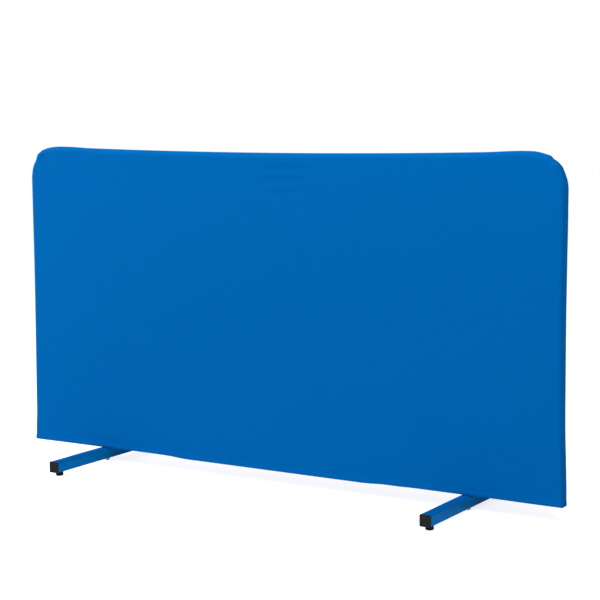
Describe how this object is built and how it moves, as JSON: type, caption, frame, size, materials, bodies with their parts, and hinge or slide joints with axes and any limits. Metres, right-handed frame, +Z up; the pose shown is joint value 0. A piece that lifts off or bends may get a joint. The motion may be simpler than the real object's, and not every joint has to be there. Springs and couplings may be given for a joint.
{
  "type": "table tennis barrier",
  "caption": "Low free-standing court barrier: a cloth cover stretched over a round-cornered tubular frame, on square tube legs that swivel in line with the panel for storage.",
  "frame": {"origin": "on the floor under the middle of the panel, at the centre of the whole object's footprint", "axes": "+X along the panel to the right as seen from the table, +Y away from the table through the panel, +Z up"},
  "size_m": [1.4, 0.4, 0.76],
  "materials": {
    "blue_cloth": "smooth fine woven polyester, matt with a faint sheen",
    "blue_paint": "semi-gloss powder coat",
    "black_plastic": "charcoal moulded plastic",
    "black_rubber": "black moulded rubber",
    "zinc_steel": "bright zinc plated",
    "white_nylon": "natural nylon",
    "black_tape": "hook and loop tape"
  },
  "bodies": {
    "panel": {"base_rail": "blue_paint", "top_rail": "blue_paint", "left_side_bow": "blue_paint", "right_side_bow": "blue_paint", "left_upright_screw": "zinc_steel", "right_upright_screw": "zinc_steel", "left_top_screw": "zinc_steel", "right_top_screw": "zinc_steel", "left_rail_plug": "black_plastic", "right_rail_plug": "black_plastic", "left_pivot_bolt": "zinc_steel", "right_pivot_bolt": "zinc_steel", "left_head_washer": "zinc_steel", "right_head_washer": "zinc_steel", "left_friction_washer": "white_nylon", "right_friction_washer": "white_nylon", "left_nut_washer": "zinc_steel", "right_nut_washer": "zinc_steel", "left_lock_nut": "zinc_steel", "right_lock_nut": "zinc_steel", "cover_cloth": "blue_cloth", "left_side_gusset": "blue_cloth", "right_side_gusset": "blue_cloth", "front_hem_flap": "blue_cloth", "back_hem_flap": "blue_cloth", "hook_tape": "black_tape", "loop_tape": "black_tape"},
    "left_leg": {"left_leg_tube": "blue_paint", "left_leg_bush": "zinc_steel", "left_leg_front_cap": "black_plastic", "left_leg_rear_cap": "black_plastic", "left_front_foot": "black_rubber", "left_rear_foot": "black_rubber", "left_front_foot_screw": "zinc_steel", "left_rear_foot_screw": "zinc_steel"},
    "right_leg": {"right_leg_tube": "blue_paint", "right_leg_bush": "zinc_steel", "right_leg_front_cap": "black_plastic", "right_leg_rear_cap": "black_plastic", "right_front_foot": "black_rubber", "right_rear_foot": "black_rubber", "right_front_foot_screw": "zinc_steel", "right_rear_foot_screw": "zinc_steel"}
  },
  "joints": [
    {"name": "left_leg_swivel", "type": "hinge", "parent": "panel", "child": "left_leg", "pos_m": [-0.484, 0, 0.035], "axis": [0, 0, 1], "range_deg": [-90, 90]},
    {"name": "right_leg_swivel", "type": "hinge", "parent": "panel", "child": "right_leg", "pos_m": [0.484, 0, 0.035], "axis": [0, 0, 1], "range_deg": [-90, 90]}
  ]
}
